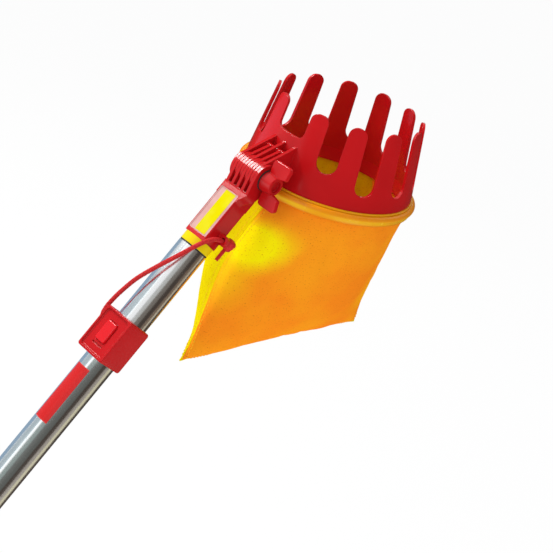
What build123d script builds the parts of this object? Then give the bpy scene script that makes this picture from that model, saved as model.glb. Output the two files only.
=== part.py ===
"""Fruit picker head: a fingered crown with a cloth bag, hinged on an arm that plugs into a pole's catch."""

import math
import os

from build123d import *

# Frame and posture. The origin is the centre of the pole tube's open lower end. +Z is the crown's axis, the
# pole leans towards +X as it rises, and the wing nut is on the -Y side. Millimetres and degrees.
POLE_LEAN = 35.3

# Fits between pieces
SEAT = 0.02
PIN_FIT = 0.05
RUNNING = 0.3

# Pole tube
TUBE_OD = 28.8
TUBE_WALL = 1.2
TUBE_LENGTH = 291.5
SOCKET_DEPTH = 60.0
SOCKET_STEP = 0.2

# Sticker on the tube, its upper end this far below the catch housing
STICKER_GAP = 11.5
STICKER_LENGTH = 58.0
STICKER_ARC = 64.0
STICKER_THICKNESS = 0.2

# Catch housing, a saddle over the tube. Its lower end is this far below the tube's mouth, and the slot and the
# button are up from that end.
HOUSING_DROP = 125.5
HOUSING_LENGTH = 43.0
HOUSING_WIDTH = 34.0
HOUSING_CROWN = 5.6
HOUSING_SKIRT = 9.0
HOUSING_CORNER = 2.6
HOUSING_EDGE = 0.9
TRAY_MARGIN = 2.2
TRAY_DEPTH = 1.8
TRAY_CORNER = 3.4
TRAY_DISH = 1.6
TRAY_SLOT_INSET = 10.0
TRAY_SLOT_LENGTH = 13.0
TRAY_SLOT_WIDTH = 1.5
TRAY_SLOT_DEPTH = 1.2
RIVET_INSET = 7.0
RIVET_SHANK = 3.2
RIVET_HEAD = 7.0
RIVET_HEAD_HEIGHT = 1.2

# Release button and the catch below it
BUTTON_INSET = 23.3
BUTTON_LENGTH = 20.0
BUTTON_WIDTH = 12.4
BUTTON_CORNER = 2.0
BUTTON_PROUD = 0.4
BUTTON_EDGE = 1.3
BUTTON_TRAVEL = 2.5
BUTTON_LIP = 1.0
BUTTON_SKIRT = 0.6
FLANGE_WIDTH = 1.1
FLANGE_HEIGHT = 0.8
PIN_DIAMETER = 8.0
PIN_PROUD = 1.1
PIN_HEAD_EDGE = 0.6
PIN_FLANGE = 10.0
PIN_FLANGE_HEIGHT = 1.2
PIN_STEM = 3.0
SPRING_THICKNESS = 0.8
SPRING_WIDTH = 8.0
SPRING_LENGTH = 34.0
SPRING_OVERHANG = 6.0

# Plug: a hollow tongue in the tube, a collar above its mouth and a neck in the arm
TONGUE_LENGTH = 141.0
TONGUE_WALL = 2.5
COLLAR_LENGTH = 9.8
SEAL_HEIGHT = 1.4
SEAL_STEP = 0.25
NECK_LENGTH = 19.0
NECK_WIDTH = 17.0
NECK_DEPTH = 13.0
NECK_CORNER = 2.0
SCREW_SHANK = 3.5
SCREW_HEAD = 6.6
SCREW_HEAD_HEIGHT = 2.0
SCREW_BITE = 8.0
SCREW_SPACING = 9.0

# Arm
ARM_LENGTH = 75.3
ARM_WIDTH = 25.0
ARM_FACE = 11.0
ARM_EDGE = 1.5
RECESS_LENGTH = 45.6
RECESS_WIDTH = 22.4
RECESS_INSET = 3.9
RECESS_DEPTH = 1.0
RECESS_CORNER = 1.2
BADGE_THICKNESS = 0.5
BADGE_RIM = 0.8
BADGE_RIM_HEIGHT = 0.4
LABEL_LENGTH = 43.4
LABEL_WIDTH = 12.6
LABEL_SHIFT = 2.0
LABEL_THICKNESS = 0.15

# Hinge: knuckles of the arm and of the crown take turns on one bolt
HINGE_OFFSET = 3.6
KNUCKLE_RADIUS = 14.2
KNUCKLE_THICKNESS = 2.95
CROWN_KNUCKLES = 5
FORK_DEPTH = 19.6
FORK_FLARE = 13.0
CHEEK_NECK = 9.0
BOLT_DIAMETER = 8.0
BOLT_HEAD = 18.0
BOLT_HEAD_HEIGHT = 4.4
BOLT_NECK_LENGTH = 2.6
WASHER_DIAMETER = 20.0
WASHER_THICKNESS = 1.2
WASHER_GAP = 0.1

# Wing nut
HUB_BASE = 19.2
HUB_END = 16.4
HUB_LENGTH = 12.0
HUB_RECESS = 11.0
HUB_RECESS_DEPTH = 3.0
HUB_EDGE = 1.2
WING_RADIUS = 21.5
WING_THICKNESS = 4.4
WING_LENGTH = 22.0
WING_WAIST = 9.5
WING_CORNER = 3.4
WING_EDGE = 1.1
WING_ANGLE = 8.4
INSERT_FLATS = 13.0
INSERT_HEIGHT = 6.4
BOLT_SHOW = 1.0

# Crown. Heights are from the ring's top edge.
HINGE_REACH = 105.0
HINGE_RISE = 9.2
WALL_RADIUS = 81.0
TIP_RADIUS = 70.2
CROWN_HEIGHT = 72.0
WALL = 3.0
TIP_WALL = 2.6
SPIGOT_STEP = 1.8
SPIGOT_DEPTH = 13.0
FINGERS = 12
FINGER_ANGLE = 15.0
POLE_GAP_ANGLE = 24.0
GAP_WIDTH = 18.8
TIP_ROUND = 7.4
POLE_TIP_ROUND = 6.0
POLE_GAP_FLOOR = 45.0
POLE_GAP_CORNER = 6.0
SIDE_GAP_FLOOR = 25.0
GAP_FLOOR = 13.5
RIB_TOP = 38.0
RIB_FOOT = 2.5
WEB_REACH = 19.0
WEB_THICKNESS = 3.0
WEB_DROP = 1.5

# Bag ring
RING_HEIGHT = 11.4
RING_LIP = 1.7
RING_LIP_HEIGHT = 1.5
RING_GROOVE = 0.7
RING_BEAD = 5.6
RING_BEAD_DROP = 4.8
RING_FOOT = 3.0
HEM_THICKNESS = 1.6

# Bag
BAG_DEPTH = 173.5
BAG_HALF_WIDTH = 125.6
CLOTH = 1.2
SEAM_HEIGHT = 1.6
SEAM_THICKNESS = 2.4
BAG_STATIONS = (0.0, 0.2, 0.4, 0.6, 0.8, 0.92, 0.98)

# Safety cord: it runs from an eyelet on the arm to another on the housing. An eyelet's place is up from the
# lower end of its piece, across the pole (+Y) and out from the tube's axis on the label side. A point of the
# route is a share of the way up from the lower eyelet to the upper one, then across and out.
CORD_DIAMETER = 4.4
CORD_CLEARANCE = 0.3
EYELET_WALL = 2.4
EYELET_HEIGHT = 4.4
KNOT_DIAMETER = 12.4
TAIL_DIAMETER = 3.8
UPPER_TAIL = 12.0
LOWER_TAIL = 7.0
ARM_EYELET = (11.6, -18.8, -3.4)
ARM_EYELET_LEAN = 86.0
HOUSING_EYELET = (20.6, 23.8, -3.0)
HOUSING_EYELET_LEAN = -54.0
CORD_ROUTE = (
    (0.9945, -18.7, 4.3),
    (0.9169, -17.4, 15.0),
    (0.8124, -13.8, 19.6),
    (0.7094, -8.0, 20.7),
    (0.6128, -1.5, 21.2),
    (0.5147, 5.0, 21.1),
    (0.4260, 11.2, 19.9),
    (0.3286, 16.6, 17.2),
    (0.2296, 21.3, 14.2),
    (0.1425, 24.0, 11.5),
    (0.0697, 24.2, 8.5),
)

# Sizes worked out from the above
TUBE_RADIUS = TUBE_OD / 2
BORE_RADIUS = TUBE_RADIUS - TUBE_WALL
HOUSING_BOTTOM = TUBE_LENGTH - HOUSING_DROP
STICKER_BOTTOM = HOUSING_BOTTOM - STICKER_GAP - STICKER_LENGTH
TRAY_SLOT_UP = HOUSING_BOTTOM + TRAY_SLOT_INSET
BUTTON_UP = HOUSING_BOTTOM + BUTTON_INSET
HOUSING_TOP = TUBE_RADIUS + HOUSING_CROWN
TRAY_FLOOR = HOUSING_TOP - TRAY_DEPTH
LIP_UNDER = TRAY_FLOOR - BUTTON_LIP
PIN_RADIUS = PIN_DIAMETER / 2
PIN_TOP = TUBE_RADIUS + PIN_PROUD
TONGUE_RADIUS = BORE_RADIUS - PIN_FIT
TONGUE_BORE = TONGUE_RADIUS - TONGUE_WALL
PIN_FLANGE_TOP = math.sqrt(TONGUE_BORE**2 - (PIN_FLANGE / 2) ** 2) - RUNNING
PIN_FLANGE_LOW = PIN_FLANGE_TOP - PIN_FLANGE_HEIGHT
ARM_BOTTOM = TUBE_LENGTH + COLLAR_LENGTH
ARM_UNDER = KNUCKLE_RADIUS - HINGE_OFFSET
HINGE_UP = ARM_BOTTOM + ARM_LENGTH
KNUCKLE_PITCH = KNUCKLE_THICKNESS + RUNNING
NEAR_END = CROWN_KNUCKLES * KNUCKLE_PITCH + KNUCKLE_THICKNESS / 2
FAR_END = NEAR_END - KNUCKLE_PITCH
CROWN_KNUCKLE_PLACES = [2 * KNUCKLE_PITCH * (k - (CROWN_KNUCKLES - 1) / 2) for k in range(CROWN_KNUCKLES)]
BOLT_RADIUS = BOLT_DIAMETER / 2
HUB_START = NEAR_END + SEAT + WASHER_THICKNESS + WASHER_GAP
HUB_STOP = HUB_START + HUB_LENGTH
INSERT_STOP = HUB_START + INSERT_HEIGHT
SPIGOT_RADIUS = WALL_RADIUS - SPIGOT_STEP
HEM_RADIUS = SPIGOT_RADIUS + SEAT + HEM_THICKNESS
RING_BORE = HEM_RADIUS + SEAT
GAP_ANGLE = (360 - POLE_GAP_ANGLE - FINGERS * FINGER_ANGLE) / (FINGERS - 1)
KNOT_RADIUS = KNOT_DIAMETER / 2
CORD_RADIUS = CORD_DIAMETER / 2
UPPER_EYELET = (ARM_BOTTOM + ARM_EYELET[0], ARM_EYELET[1], ARM_EYELET[2])
LOWER_EYELET = (HOUSING_BOTTOM + HOUSING_EYELET[0], HOUSING_EYELET[1], HOUSING_EYELET[2])

# Pole pieces are drawn upright, with the label side at -X, and then leaned. The crown and its bag are drawn
# round Z from the ring's top edge, and the pieces on the hinge bolt round Y.
LEANED = Rot(0, POLE_LEAN, 0)
ON_HINGE = Pos(*(LEANED * Pos(-HINGE_OFFSET, 0, HINGE_UP)).position)
ON_CROWN = ON_HINGE * Pos(HINGE_REACH, 0, -HINGE_RISE)
UPWARDS = (Align.CENTER, Align.CENTER, Align.MIN)


def rod(radius, start, end):
    """A round bar along Y between two places."""
    return Pos(0, end, 0) * Rot(90, 0, 0) * Cylinder(radius, end - start, align=UPWARDS)


def post(radius, low, high, up):
    """A round bar that stands out from the tube's axis on the label side, between two distances."""
    return Pos(-low, 0, up) * Rot(0, -90, 0) * Cylinder(radius, high - low, align=UPWARDS)


def pad(length, width, corner, low, high, up, across=0):
    """A round-cornered block standing out on the label side, between two distances from the tube's axis."""
    base = Plane(origin=(-low, across, up), x_dir=(0, 0, 1), z_dir=(-1, 0, 0))
    return extrude(base * RectangleRounded(length, width, corner), high - low)


def leaf(outline, start, end):
    """A plate along Y between two places, cut to an outline of X, Z points."""
    base = Plane(origin=(0, end, 0), x_dir=(1, 0, 0), z_dir=(0, -1, 0))
    return extrude(base * make_face(Polyline(*outline, close=True)), end - start)


def tangent_point(outside, turn):
    """Where a line from an outside X, Z point touches a knuckle round the origin: left (1) or right (-1)."""
    reach = math.hypot(*outside)
    angle = math.atan2(outside[1], outside[0]) + turn * math.acos(KNUCKLE_RADIUS / reach)
    return (KNUCKLE_RADIUS * math.cos(angle), KNUCKLE_RADIUS * math.sin(angle))


def wall_radius(height):
    """The crown wall's outer radius at a height above the ring's top edge."""
    return WALL_RADIUS - (WALL_RADIUS - TIP_RADIUS) * height / CROWN_HEIGHT


def eyelet_axis(place, lean):
    """Where an eyelet's hole is: its centre, with Z along the hole."""
    along, across, out = place
    return Pos(-out, across, along) * Rot(0, lean, 0)


def eyelet(place, lean, side):
    """A lug with a hole for the cord, grown from the side face of a pole piece at Y = side."""
    hole = CORD_RADIUS + CORD_CLEARANCE
    reach = hole + EYELET_WALL
    inwards = side - place[1]
    lug = Cylinder(reach, EYELET_HEIGHT)
    lug += Pos(0, inwards / 2, 0) * Box(2 * reach, abs(inwards), EYELET_HEIGHT)
    return eyelet_axis(place, lean) * (lug - Cylinder(hole, 2 * EYELET_HEIGHT))


def rivet_heights():
    """Where the housing's two rivets are along the pole."""
    return (HOUSING_BOTTOM + RIVET_INSET, HOUSING_BOTTOM + HOUSING_LENGTH - RIVET_INSET)


def screw_heights():
    """Where the plug's two screws are along the pole."""
    middle = ARM_BOTTOM + NECK_LENGTH / 2
    return (middle - SCREW_SPACING / 2, middle + SCREW_SPACING / 2)


def pole_tube():
    """The aluminium tube: a reamed socket in its lower end, holes for the catch pin and the rivets above."""
    tube = Cylinder(TUBE_RADIUS, TUBE_LENGTH, align=UPWARDS)
    tube -= Cylinder(BORE_RADIUS, TUBE_LENGTH, align=UPWARDS)
    tube -= Cylinder(BORE_RADIUS + SOCKET_STEP, SOCKET_DEPTH, align=UPWARDS)
    tube -= post(PIN_RADIUS + RUNNING, 0, TUBE_OD, BUTTON_UP)
    for up in rivet_heights():
        tube -= Pos(0, 0, up) * rod(RIVET_SHANK / 2 + SEAT, 0, TUBE_OD)
    return LEANED * tube


def pole_label():
    """The sticker, a thin curved sheet on the tube's label side."""
    inner = TUBE_RADIUS + SEAT
    on_axis = (Align.NONE, Align.NONE, Align.MIN)
    sheet = Cylinder(inner + STICKER_THICKNESS, STICKER_LENGTH, arc_size=STICKER_ARC, align=on_axis)
    sheet -= Cylinder(inner, STICKER_LENGTH, align=UPWARDS)
    return LEANED * Pos(0, 0, STICKER_BOTTOM) * Rot(0, 0, 180 - STICKER_ARC / 2) * sheet


def catch_housing():
    """The saddle block: round bore, tray on top with a well and a slot, and the cord's lower eyelet."""
    middle = HOUSING_BOTTOM + HOUSING_LENGTH / 2
    depth = HOUSING_TOP + HOUSING_SKIRT
    block = Pos((HOUSING_SKIRT - HOUSING_TOP) / 2, 0, middle) * Box(depth, HOUSING_WIDTH, HOUSING_LENGTH)
    block = fillet(block.edges().filter_by(Axis.X), HOUSING_CORNER)
    block = fillet(block.faces().sort_by(Axis.X)[0].edges(), HOUSING_EDGE)
    block += eyelet(LOWER_EYELET, HOUSING_EYELET_LEAN, HOUSING_WIDTH / 2)
    block -= Cylinder(TUBE_RADIUS + SEAT, TUBE_LENGTH, align=UPWARDS)
    tray_length = HOUSING_LENGTH - 2 * TRAY_MARGIN
    tray_width = HOUSING_WIDTH - 2 * TRAY_MARGIN
    tray = pad(tray_length, tray_width, TRAY_CORNER, TRAY_FLOOR, HOUSING_TOP + TRAY_DEPTH, middle)
    block -= fillet(tray.faces().sort_by(Axis.X)[-1].edges(), TRAY_DISH)
    slot_floor = TRAY_FLOOR - TRAY_SLOT_DEPTH
    slot_corner = 0.45 * TRAY_SLOT_WIDTH
    block -= pad(TRAY_SLOT_WIDTH, TRAY_SLOT_LENGTH, slot_corner, slot_floor, HOUSING_TOP, TRAY_SLOT_UP)
    well_length = BUTTON_LENGTH + 2 * RUNNING
    well_width = BUTTON_WIDTH + 2 * RUNNING
    well_corner = BUTTON_CORNER + RUNNING
    block -= pad(well_length, well_width, well_corner, 0, HOUSING_TOP, BUTTON_UP)
    block -= pad(well_length, well_width + 2 * FLANGE_WIDTH, well_corner, 0, LIP_UNDER, BUTTON_UP)
    for up in rivet_heights():
        block -= Pos(0, 0, up) * rod(RIVET_SHANK / 2 + SEAT, 0, HOUSING_WIDTH)
    return LEANED * block


def housing_rivet():
    """Two rivets through the housing's far wall and the tube's, flush inside to let the tongue pass."""
    seat = HOUSING_WIDTH / 2 + SEAT
    head = rod(RIVET_HEAD / 2, seat, seat + RIVET_HEAD_HEIGHT)
    head = fillet(head.edges().sort_by(Axis.Y)[-1], RIVET_HEAD_HEIGHT / 2)
    rivet = head + rod(RIVET_SHANK / 2, BORE_RADIUS + PIN_FIT, seat + RIVET_HEAD_HEIGHT / 2)
    return Compound(children=[LEANED * Pos(0, 0, up) * rivet for up in rivet_heights()])


def release_button():
    """The domed key, with a flange under the tray's lip on both sides and a boss that meets the pin."""
    under = TUBE_RADIUS + RUNNING + BUTTON_TRAVEL
    key = pad(BUTTON_LENGTH, BUTTON_WIDTH, BUTTON_CORNER, under, HOUSING_TOP + BUTTON_PROUD, BUTTON_UP)
    key = fillet(key.faces().sort_by(Axis.X)[0].edges(), BUTTON_EDGE)
    flange_top = LIP_UNDER - RUNNING
    flange_low = flange_top - FLANGE_HEIGHT
    skirt_length = BUTTON_LENGTH - 2 * BUTTON_CORNER
    skirt = pad(skirt_length, BUTTON_WIDTH, BUTTON_SKIRT, flange_low, under + BUTTON_EDGE, BUTTON_UP)
    flange_span = BUTTON_WIDTH + 2 * FLANGE_WIDTH - RUNNING
    skirt += pad(skirt_length, flange_span, BUTTON_SKIRT, flange_low, flange_top, BUTTON_UP)
    skirt -= pad(BUTTON_LENGTH, BUTTON_WIDTH - 2 * BUTTON_SKIRT, BUTTON_SKIRT, 0, under, BUTTON_UP)
    boss = post(PIN_RADIUS - RUNNING, PIN_TOP + SEAT, under + BUTTON_EDGE, BUTTON_UP)
    return LEANED * (key + skirt + boss)


def catch_pin():
    """The locking pin, with a flange that stops it inside the tongue and a stem riveted to the spring."""
    pin = post(PIN_RADIUS, PIN_FLANGE_LOW, PIN_TOP, BUTTON_UP)
    pin = fillet(pin.edges().sort_by(Axis.X)[0], PIN_HEAD_EDGE)
    pin += post(PIN_FLANGE / 2, PIN_FLANGE_LOW, PIN_FLANGE_TOP, BUTTON_UP)
    pin += post(PIN_STEM / 2, PIN_FLANGE_LOW - SPRING_THICKNESS - SEAT, PIN_FLANGE_TOP, BUTTON_UP)
    return LEANED * pin


def catch_spring():
    """The V-shaped flat spring in the tongue: one leg carries the pin, the other rests on the bore."""
    half_strip = SPRING_THICKNESS / 2
    upper = PIN_FLANGE_LOW - SEAT - half_strip
    lower = half_strip + SEAT - math.sqrt(TONGUE_BORE**2 - (SPRING_WIDTH / 2) ** 2)
    middle = (upper + lower) / 2
    bend = (upper - lower) / 4
    tip = BUTTON_UP + SPRING_OVERHANG
    knee = BUTTON_UP - SPRING_OVERHANG
    foot = tip - SPRING_LENGTH
    carrier = Polyline((-upper, tip), (-upper, knee), (-middle - bend, foot))
    turn = ThreePointArc(carrier @ 1, (-middle, foot - bend), (-middle + bend, foot))
    rest = Polyline(turn @ 1, (-lower, knee), (-lower, tip))
    strip = trace(carrier + turn + rest, SPRING_THICKNESS)
    base = Plane(origin=(0, SPRING_WIDTH / 2, 0), x_dir=(1, 0, 0), z_dir=(0, -1, 0))
    spring = extrude(base * strip, SPRING_WIDTH)
    return LEANED * (spring - post(PIN_STEM / 2 + SEAT, 0, TUBE_OD, BUTTON_UP))


def plug():
    """The adaptor: a hollow tongue down the tube, a collar on its mouth and a neck up into the arm."""
    foot = TUBE_LENGTH - TONGUE_LENGTH
    root = TUBE_LENGTH + COLLAR_LENGTH / 2
    piece = Pos(0, 0, foot) * Cylinder(TONGUE_RADIUS, root - foot, align=UPWARDS)
    collar_foot = TUBE_LENGTH + SEAL_HEIGHT + 2 * SEAT
    collar_length = COLLAR_LENGTH - SEAL_HEIGHT - 3 * SEAT
    piece += Pos(0, 0, collar_foot) * Cylinder(TUBE_RADIUS, collar_length, align=UPWARDS)
    neck = RectangleRounded(NECK_DEPTH, NECK_WIDTH, NECK_CORNER)
    piece += Pos(0, 0, root) * extrude(neck, ARM_BOTTOM + NECK_LENGTH - root)
    piece -= Pos(0, 0, foot) * Cylinder(TONGUE_BORE, TONGUE_LENGTH, align=UPWARDS)
    piece -= post(PIN_RADIUS + PIN_FIT, 0, TUBE_OD, BUTTON_UP)
    for up in screw_heights():
        piece -= screw_hole(up)
    return LEANED * piece


def mouth_seal():
    """The dark rubber ring round the tongue, between the collar and the tube's mouth."""
    ring = Cylinder(TUBE_RADIUS - SEAL_STEP, SEAL_HEIGHT, align=UPWARDS)
    ring -= Cylinder(TONGUE_RADIUS + SEAT, SEAL_HEIGHT, align=UPWARDS)
    return LEANED * Pos(0, 0, TUBE_LENGTH + SEAT) * ring


def screw_hole(up):
    """The plain hole of a plug screw, from its point to past the arm's underside."""
    point = NECK_DEPTH / 2 - SCREW_BITE
    length = ARM_UNDER + SCREW_HEAD_HEIGHT - point
    return Pos(point, 0, up) * Rot(0, 90, 0) * Cylinder(SCREW_SHANK / 2 + SEAT, length, align=UPWARDS)


def plug_screw():
    """Two countersunk screws from the arm's underside into the plug's neck."""
    point = NECK_DEPTH / 2 - SCREW_BITE + SEAT
    shank = Cylinder(SCREW_SHANK / 2, ARM_UNDER - point, align=UPWARDS)
    head_low = ARM_UNDER - SCREW_HEAD_HEIGHT - point
    head = Pos(0, 0, head_low) * Cone(SCREW_SHANK / 2, SCREW_HEAD / 2, SCREW_HEAD_HEIGHT, align=UPWARDS)
    screw = Rot(0, 90, 0) * (shank + head)
    return Compound(children=[LEANED * Pos(point, 0, up) * screw for up in screw_heights()])


def arm():
    """The arm: rectangular body with recess and socket, a comb of knuckles and the cord's upper eyelet."""
    face = HINGE_OFFSET - ARM_FACE
    slope_foot = (face, -FORK_DEPTH - ARM_EDGE)
    flare_foot = -FORK_DEPTH - FORK_FLARE
    body = Pos((face + KNUCKLE_RADIUS) / 2, 0, -(ARM_LENGTH + FORK_DEPTH) / 2)
    body *= Box(KNUCKLE_RADIUS - face, ARM_WIDTH, ARM_LENGTH - FORK_DEPTH)
    body = fillet(body.edges().filter_by(Axis.Z), ARM_EDGE)
    waist = ARM_WIDTH / 2
    face_side = [(face, flare_foot), slope_foot, tangent_point(slope_foot, -1), (0, 0)]
    comb = leaf(face_side + [(KNUCKLE_RADIUS, 0), (KNUCKLE_RADIUS, flare_foot)], -waist, waist)
    neck_foot = (face + CHEEK_NECK, flare_foot)
    near_cheek = leaf(face_side + [tangent_point(neck_foot, 1), neck_foot], -NEAR_END, -waist)
    flare = Spline((-waist, flare_foot), (-NEAR_END, -FORK_DEPTH), tangents=((0, 1), (0, 1)))
    rest = [(-NEAR_END, KNUCKLE_RADIUS), (-waist, KNUCKLE_RADIUS)]
    shoulder = make_face([flare, Polyline(flare @ 1, *rest, flare @ 0)])
    front = Plane(origin=(-2 * KNUCKLE_RADIUS, 0, 0), x_dir=(0, 1, 0), z_dir=(1, 0, 0))
    near_cheek &= extrude(front * shoulder, 4 * KNUCKLE_RADIUS)
    piece = body + comb + near_cheek + rod(KNUCKLE_RADIUS, -NEAR_END, waist)
    slot_height = FORK_DEPTH + 2 * KNUCKLE_RADIUS
    for place in CROWN_KNUCKLE_PLACES:
        slot = Box(4 * KNUCKLE_RADIUS, KNUCKLE_THICKNESS + 2 * RUNNING, slot_height, align=UPWARDS)
        piece -= Pos(0, place, -FORK_DEPTH) * slot
    piece -= rod(BOLT_RADIUS + PIN_FIT, -NEAR_END, waist)
    piece = Pos(-HINGE_OFFSET, 0, HINGE_UP) * piece
    floor = ARM_FACE - RECESS_DEPTH
    piece -= pad(RECESS_LENGTH, RECESS_WIDTH, RECESS_CORNER, floor, 2 * ARM_FACE, recess_middle())
    socket = RectangleRounded(NECK_DEPTH + 2 * SEAT, NECK_WIDTH + 2 * SEAT, NECK_CORNER + SEAT)
    piece -= Pos(0, 0, ARM_BOTTOM) * extrude(socket, NECK_LENGTH + SEAT)
    for up in screw_heights():
        sink = Pos(ARM_UNDER - SCREW_HEAD_HEIGHT, 0, up) * Rot(0, 90, 0)
        sink *= Cone(SCREW_SHANK / 2 + SEAT, SCREW_HEAD / 2 + SEAT, SCREW_HEAD_HEIGHT, align=UPWARDS)
        piece -= screw_hole(up) + sink
    return LEANED * (piece + eyelet(UPPER_EYELET, ARM_EYELET_LEAN, -ARM_WIDTH / 2))


def recess_middle():
    """The middle of the arm's recess along the pole."""
    return ARM_BOTTOM + RECESS_INSET + RECESS_LENGTH / 2


def arm_badge():
    """The pale framed plate in the arm's recess."""
    floor = ARM_FACE - RECESS_DEPTH + SEAT
    corner = RECESS_CORNER - PIN_FIT
    length = RECESS_LENGTH - 2 * PIN_FIT
    width = RECESS_WIDTH - 2 * PIN_FIT
    top = floor + BADGE_THICKNESS
    plate = pad(length, width, corner, floor, top + BADGE_RIM_HEIGHT, recess_middle())
    inner_length = length - 2 * BADGE_RIM
    inner_width = width - 2 * BADGE_RIM
    plate -= pad(inner_length, inner_width, corner / 2, top, ARM_FACE + RECESS_DEPTH, recess_middle())
    return LEANED * plate


def arm_label():
    """The plain label stuck on the badge."""
    floor = ARM_FACE - RECESS_DEPTH + BADGE_THICKNESS + 2 * SEAT
    corner = RECESS_CORNER / 2
    top = floor + LABEL_THICKNESS
    return LEANED * pad(LABEL_LENGTH, LABEL_WIDTH, corner, floor, top, recess_middle(), -LABEL_SHIFT)


def hinge_bolt():
    """The carriage bolt: domed head and square neck on the far side, shank through to the wing nut."""
    seat = FAR_END + SEAT
    half_head = BOLT_HEAD / 2
    dome_radius = (half_head**2 + BOLT_HEAD_HEIGHT**2) / (2 * BOLT_HEAD_HEIGHT)
    dome = Pos(0, seat + BOLT_HEAD_HEIGHT - dome_radius, 0) * Sphere(dome_radius)
    bolt = dome & rod(half_head, seat, seat + BOLT_HEAD_HEIGHT)
    neck_length = BOLT_NECK_LENGTH - SEAT
    bolt += Pos(0, seat - neck_length / 2, 0) * Box(BOLT_DIAMETER, neck_length, BOLT_DIAMETER)
    bolt += rod(BOLT_RADIUS, -INSERT_STOP - BOLT_SHOW, seat + BOLT_HEAD_HEIGHT / 2)
    return ON_HINGE * bolt


def hinge_washer():
    """The thin washer between the near knuckle and the wing nut."""
    start = -NEAR_END - SEAT
    washer = rod(WASHER_DIAMETER / 2, start - WASHER_THICKNESS, start)
    return ON_HINGE * (washer - rod(BOLT_RADIUS + PIN_FIT, start - WASHER_THICKNESS, start))


def wing_nut():
    """The wing nut: a tapered hub with a recess in its end and two flat wings that reach past it."""
    hub = Rot(90, 0, 0) * Pos(0, 0, HUB_START) * Cone(HUB_BASE / 2, HUB_END / 2, HUB_LENGTH, align=UPWARDS)
    wing_stop = HUB_START + WING_LENGTH
    outline = [
        (0, -HUB_START - WASHER_GAP),
        (WING_RADIUS, -HUB_START - WASHER_GAP),
        (WING_RADIUS, -wing_stop),
        (WING_WAIST, -wing_stop + WING_CORNER / 2),
        (HUB_END / 2 - WING_THICKNESS / 4, -HUB_STOP),
        (0, -HUB_STOP),
    ]
    blade = make_face(Polyline(*outline, close=True))
    blade = fillet(blade.vertices().group_by(Axis.X)[-1], WING_CORNER)
    wing = extrude(blade, WING_THICKNESS / 2, both=True)
    wing = fillet(wing.edges().filter_by(Axis.Z, reverse=True), WING_EDGE)
    hub = fillet(hub.edges().sort_by(Axis.Y)[0], HUB_EDGE)
    nut = hub + Rot(0, -90, 0) * wing + Rot(0, 90, 0) * wing
    dimple = rod(HUB_RECESS / 2, -HUB_STOP, HUB_RECESS_DEPTH - HUB_STOP)
    nut -= fillet(dimple.edges().sort_by(Axis.Y)[-1], HUB_EDGE)
    nut -= rod(BOLT_RADIUS + RUNNING, -INSERT_STOP - BOLT_SHOW - RUNNING, -HUB_START)
    nut -= insert_block(SEAT)
    return ON_HINGE * Rot(0, WING_ANGLE, 0) * nut


def insert_block(clearance):
    """The hexagon of the pressed-in nut, along Y, grown by a clearance."""
    start = INSERT_STOP - INSERT_HEIGHT - clearance
    hexagon = RegularPolygon(INSERT_FLATS / 2 + clearance, 6, major_radius=False)
    return Rot(90, 0, 0) * Pos(0, 0, start) * extrude(hexagon, INSERT_STOP - start)


def nut_insert():
    """The steel hexagon nut pressed into the hub."""
    nut = insert_block(0) - rod(BOLT_RADIUS + PIN_FIT, -INSERT_STOP, -HUB_START)
    return ON_HINGE * Rot(0, WING_ANGLE, 0) * nut


def gap_cutter(angle, width, floor, corner):
    """What is cut out between two fingers: an upright slot with round lower corners."""
    half = width / 2
    above = 2 * CROWN_HEIGHT
    slot = make_face(Polyline((-half, floor), (half, floor), (half, above), (-half, above), close=True))
    slot = fillet(slot.vertices().group_by(Axis.Y)[0], min(corner, half - SEAT))
    turned = math.radians(angle)
    outwards = (math.cos(turned), math.sin(turned), 0)
    base = Plane(origin=(0, 0, 0), x_dir=(-outwards[1], outwards[0], 0), z_dir=outwards)
    return extrude(base * slot, 2 * WALL_RADIUS)


def round_tips(piece):
    """Rounds the fingers' tips, those beside the pole a little less."""
    for pole_side, radius in ((False, TIP_ROUND), (True, POLE_TIP_ROUND)):
        tops = piece.faces().filter_by(Plane.XY).group_by(Axis.Z)[-1].sort_by(Axis.X)
        tops = tops[:2] if pole_side else tops[2:]
        corners = [edge for top in tops for edge in top.edges().filter_by(GeomType.LINE)]
        piece = piece.fillet(radius, corners)
    return piece


def crown():
    """The crown: a conical wall cut into fingers, with its half of the hinge on the pole side."""
    section = [
        (SPIGOT_RADIUS, -SPIGOT_DEPTH),
        (SPIGOT_RADIUS, 0),
        (WALL_RADIUS, 0),
        (TIP_RADIUS, CROWN_HEIGHT),
        (TIP_RADIUS - TIP_WALL, CROWN_HEIGHT),
        (WALL_RADIUS - WALL, 0),
        (SPIGOT_RADIUS - WALL, -SPIGOT_DEPTH),
    ]
    piece = revolve(Plane.XZ * make_face(Polyline(*section, close=True)), Axis.Z)
    pole_gap = 2 * wall_radius(POLE_GAP_FLOOR) * math.sin(math.radians(POLE_GAP_ANGLE / 2))
    piece -= gap_cutter(180, pole_gap, POLE_GAP_FLOOR, POLE_GAP_CORNER)
    pitch = FINGER_ANGLE + GAP_ANGLE
    first = 180 + POLE_GAP_ANGLE / 2 + FINGER_ANGLE + GAP_ANGLE / 2
    for gap in range(FINGERS - 1):
        beside_pole = gap in (0, FINGERS - 2)
        floor = SIDE_GAP_FLOOR if beside_pole else GAP_FLOOR
        piece -= gap_cutter(first + gap * pitch, GAP_WIDTH, floor, GAP_WIDTH / 2)
    return ON_CROWN * round_tips(piece) + ON_HINGE * bracket()


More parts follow.
